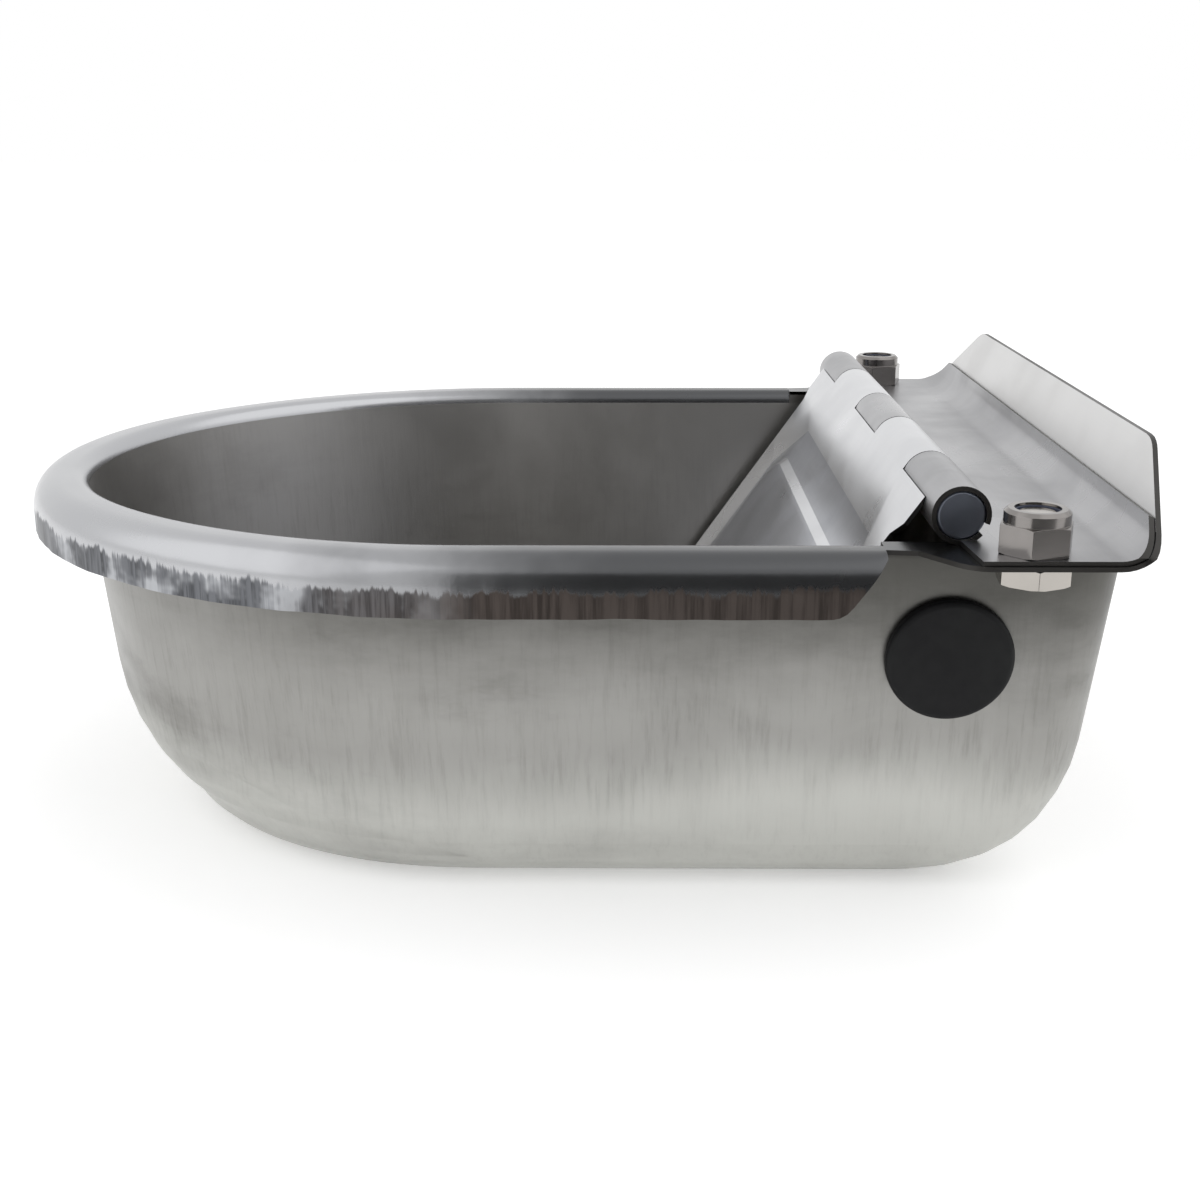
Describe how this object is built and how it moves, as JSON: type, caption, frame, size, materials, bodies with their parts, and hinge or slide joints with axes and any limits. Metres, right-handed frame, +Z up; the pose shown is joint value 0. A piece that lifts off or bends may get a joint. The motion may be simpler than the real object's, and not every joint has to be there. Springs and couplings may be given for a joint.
{
  "type": "livestock drinking bowl",
  "caption": "D-shaped pressed stainless drinking bowl with a rolled rim, a hinged guard flap over a float valve, and a turned-up rear edge.",
  "frame": {"origin": "on the ground under the middle of the bowl's overall box", "axes": "+Z up, -Y the side the animals drink from, +Y the turned-up rear edge, -X the wall with the water inlet"},
  "size_m": [0.262, 0.3067, 0.1223],
  "materials": {
    "bowl_steel": "matt drawn stainless",
    "bracket_steel": "satin stainless sheet",
    "rod_steel": "dark bar",
    "flap_steel": "satin stainless sheet",
    "fastener_steel": "bright stainless",
    "nylon": "matte",
    "plug_rubber": "matte black rubber",
    "brass": "cast and turned",
    "seal_rubber": "matte",
    "fibre": "pressed fibre",
    "small_steel": "stainless",
    "float_plastic": "moulded plastic"
  },
  "bodies": {
    "bowl": {"bowl_shell": "bowl_steel", "hinge_bracket": "bracket_steel", "hinge_rod": "rod_steel", "flange_bolts": "fastener_steel", "lock_nuts": "fastener_steel", "lock_nut_inserts": "nylon", "inlet_plug": "plug_rubber", "valve_body": "brass", "inner_seal_washer": "seal_rubber", "shank_ring": "fibre", "shank_nut": "brass", "valve_seat": "brass", "lever_pin": "small_steel", "split_pin": "small_steel"},
    "flap": {"guard_flap": "flap_steel"},
    "plunger": {"valve_plunger": "brass", "plunger_seal": "seal_rubber"},
    "float_arm": {"float_lever": "brass", "clamp_screw": "brass", "float_rod": "small_steel", "valve_float": "float_plastic", "float_nuts": "small_steel"}
  },
  "joints": [
    {"name": "flap_hinge", "type": "hinge", "parent": "bowl", "child": "flap", "pos_m": [0, 0.1033, 0.10615], "axis": [-1, 0, 0], "range_deg": [0, 207]},
    {"name": "float_hinge", "type": "hinge", "parent": "bowl", "child": "float_arm", "pos_m": [-0.06585, 0.1033, 0.0587], "axis": [0, -1, 0], "range_deg": [0, 11]},
    {"name": "plunger_slide", "type": "slide", "parent": "bowl", "child": "plunger", "axis": [-0.9954, 0, -0.0958], "range_m": [0, 0.00269]}
  ],
  "couplings": [
    {"joint": "plunger_slide", "follows": "float_hinge", "m_per_rad": 0.013979}
  ]
}
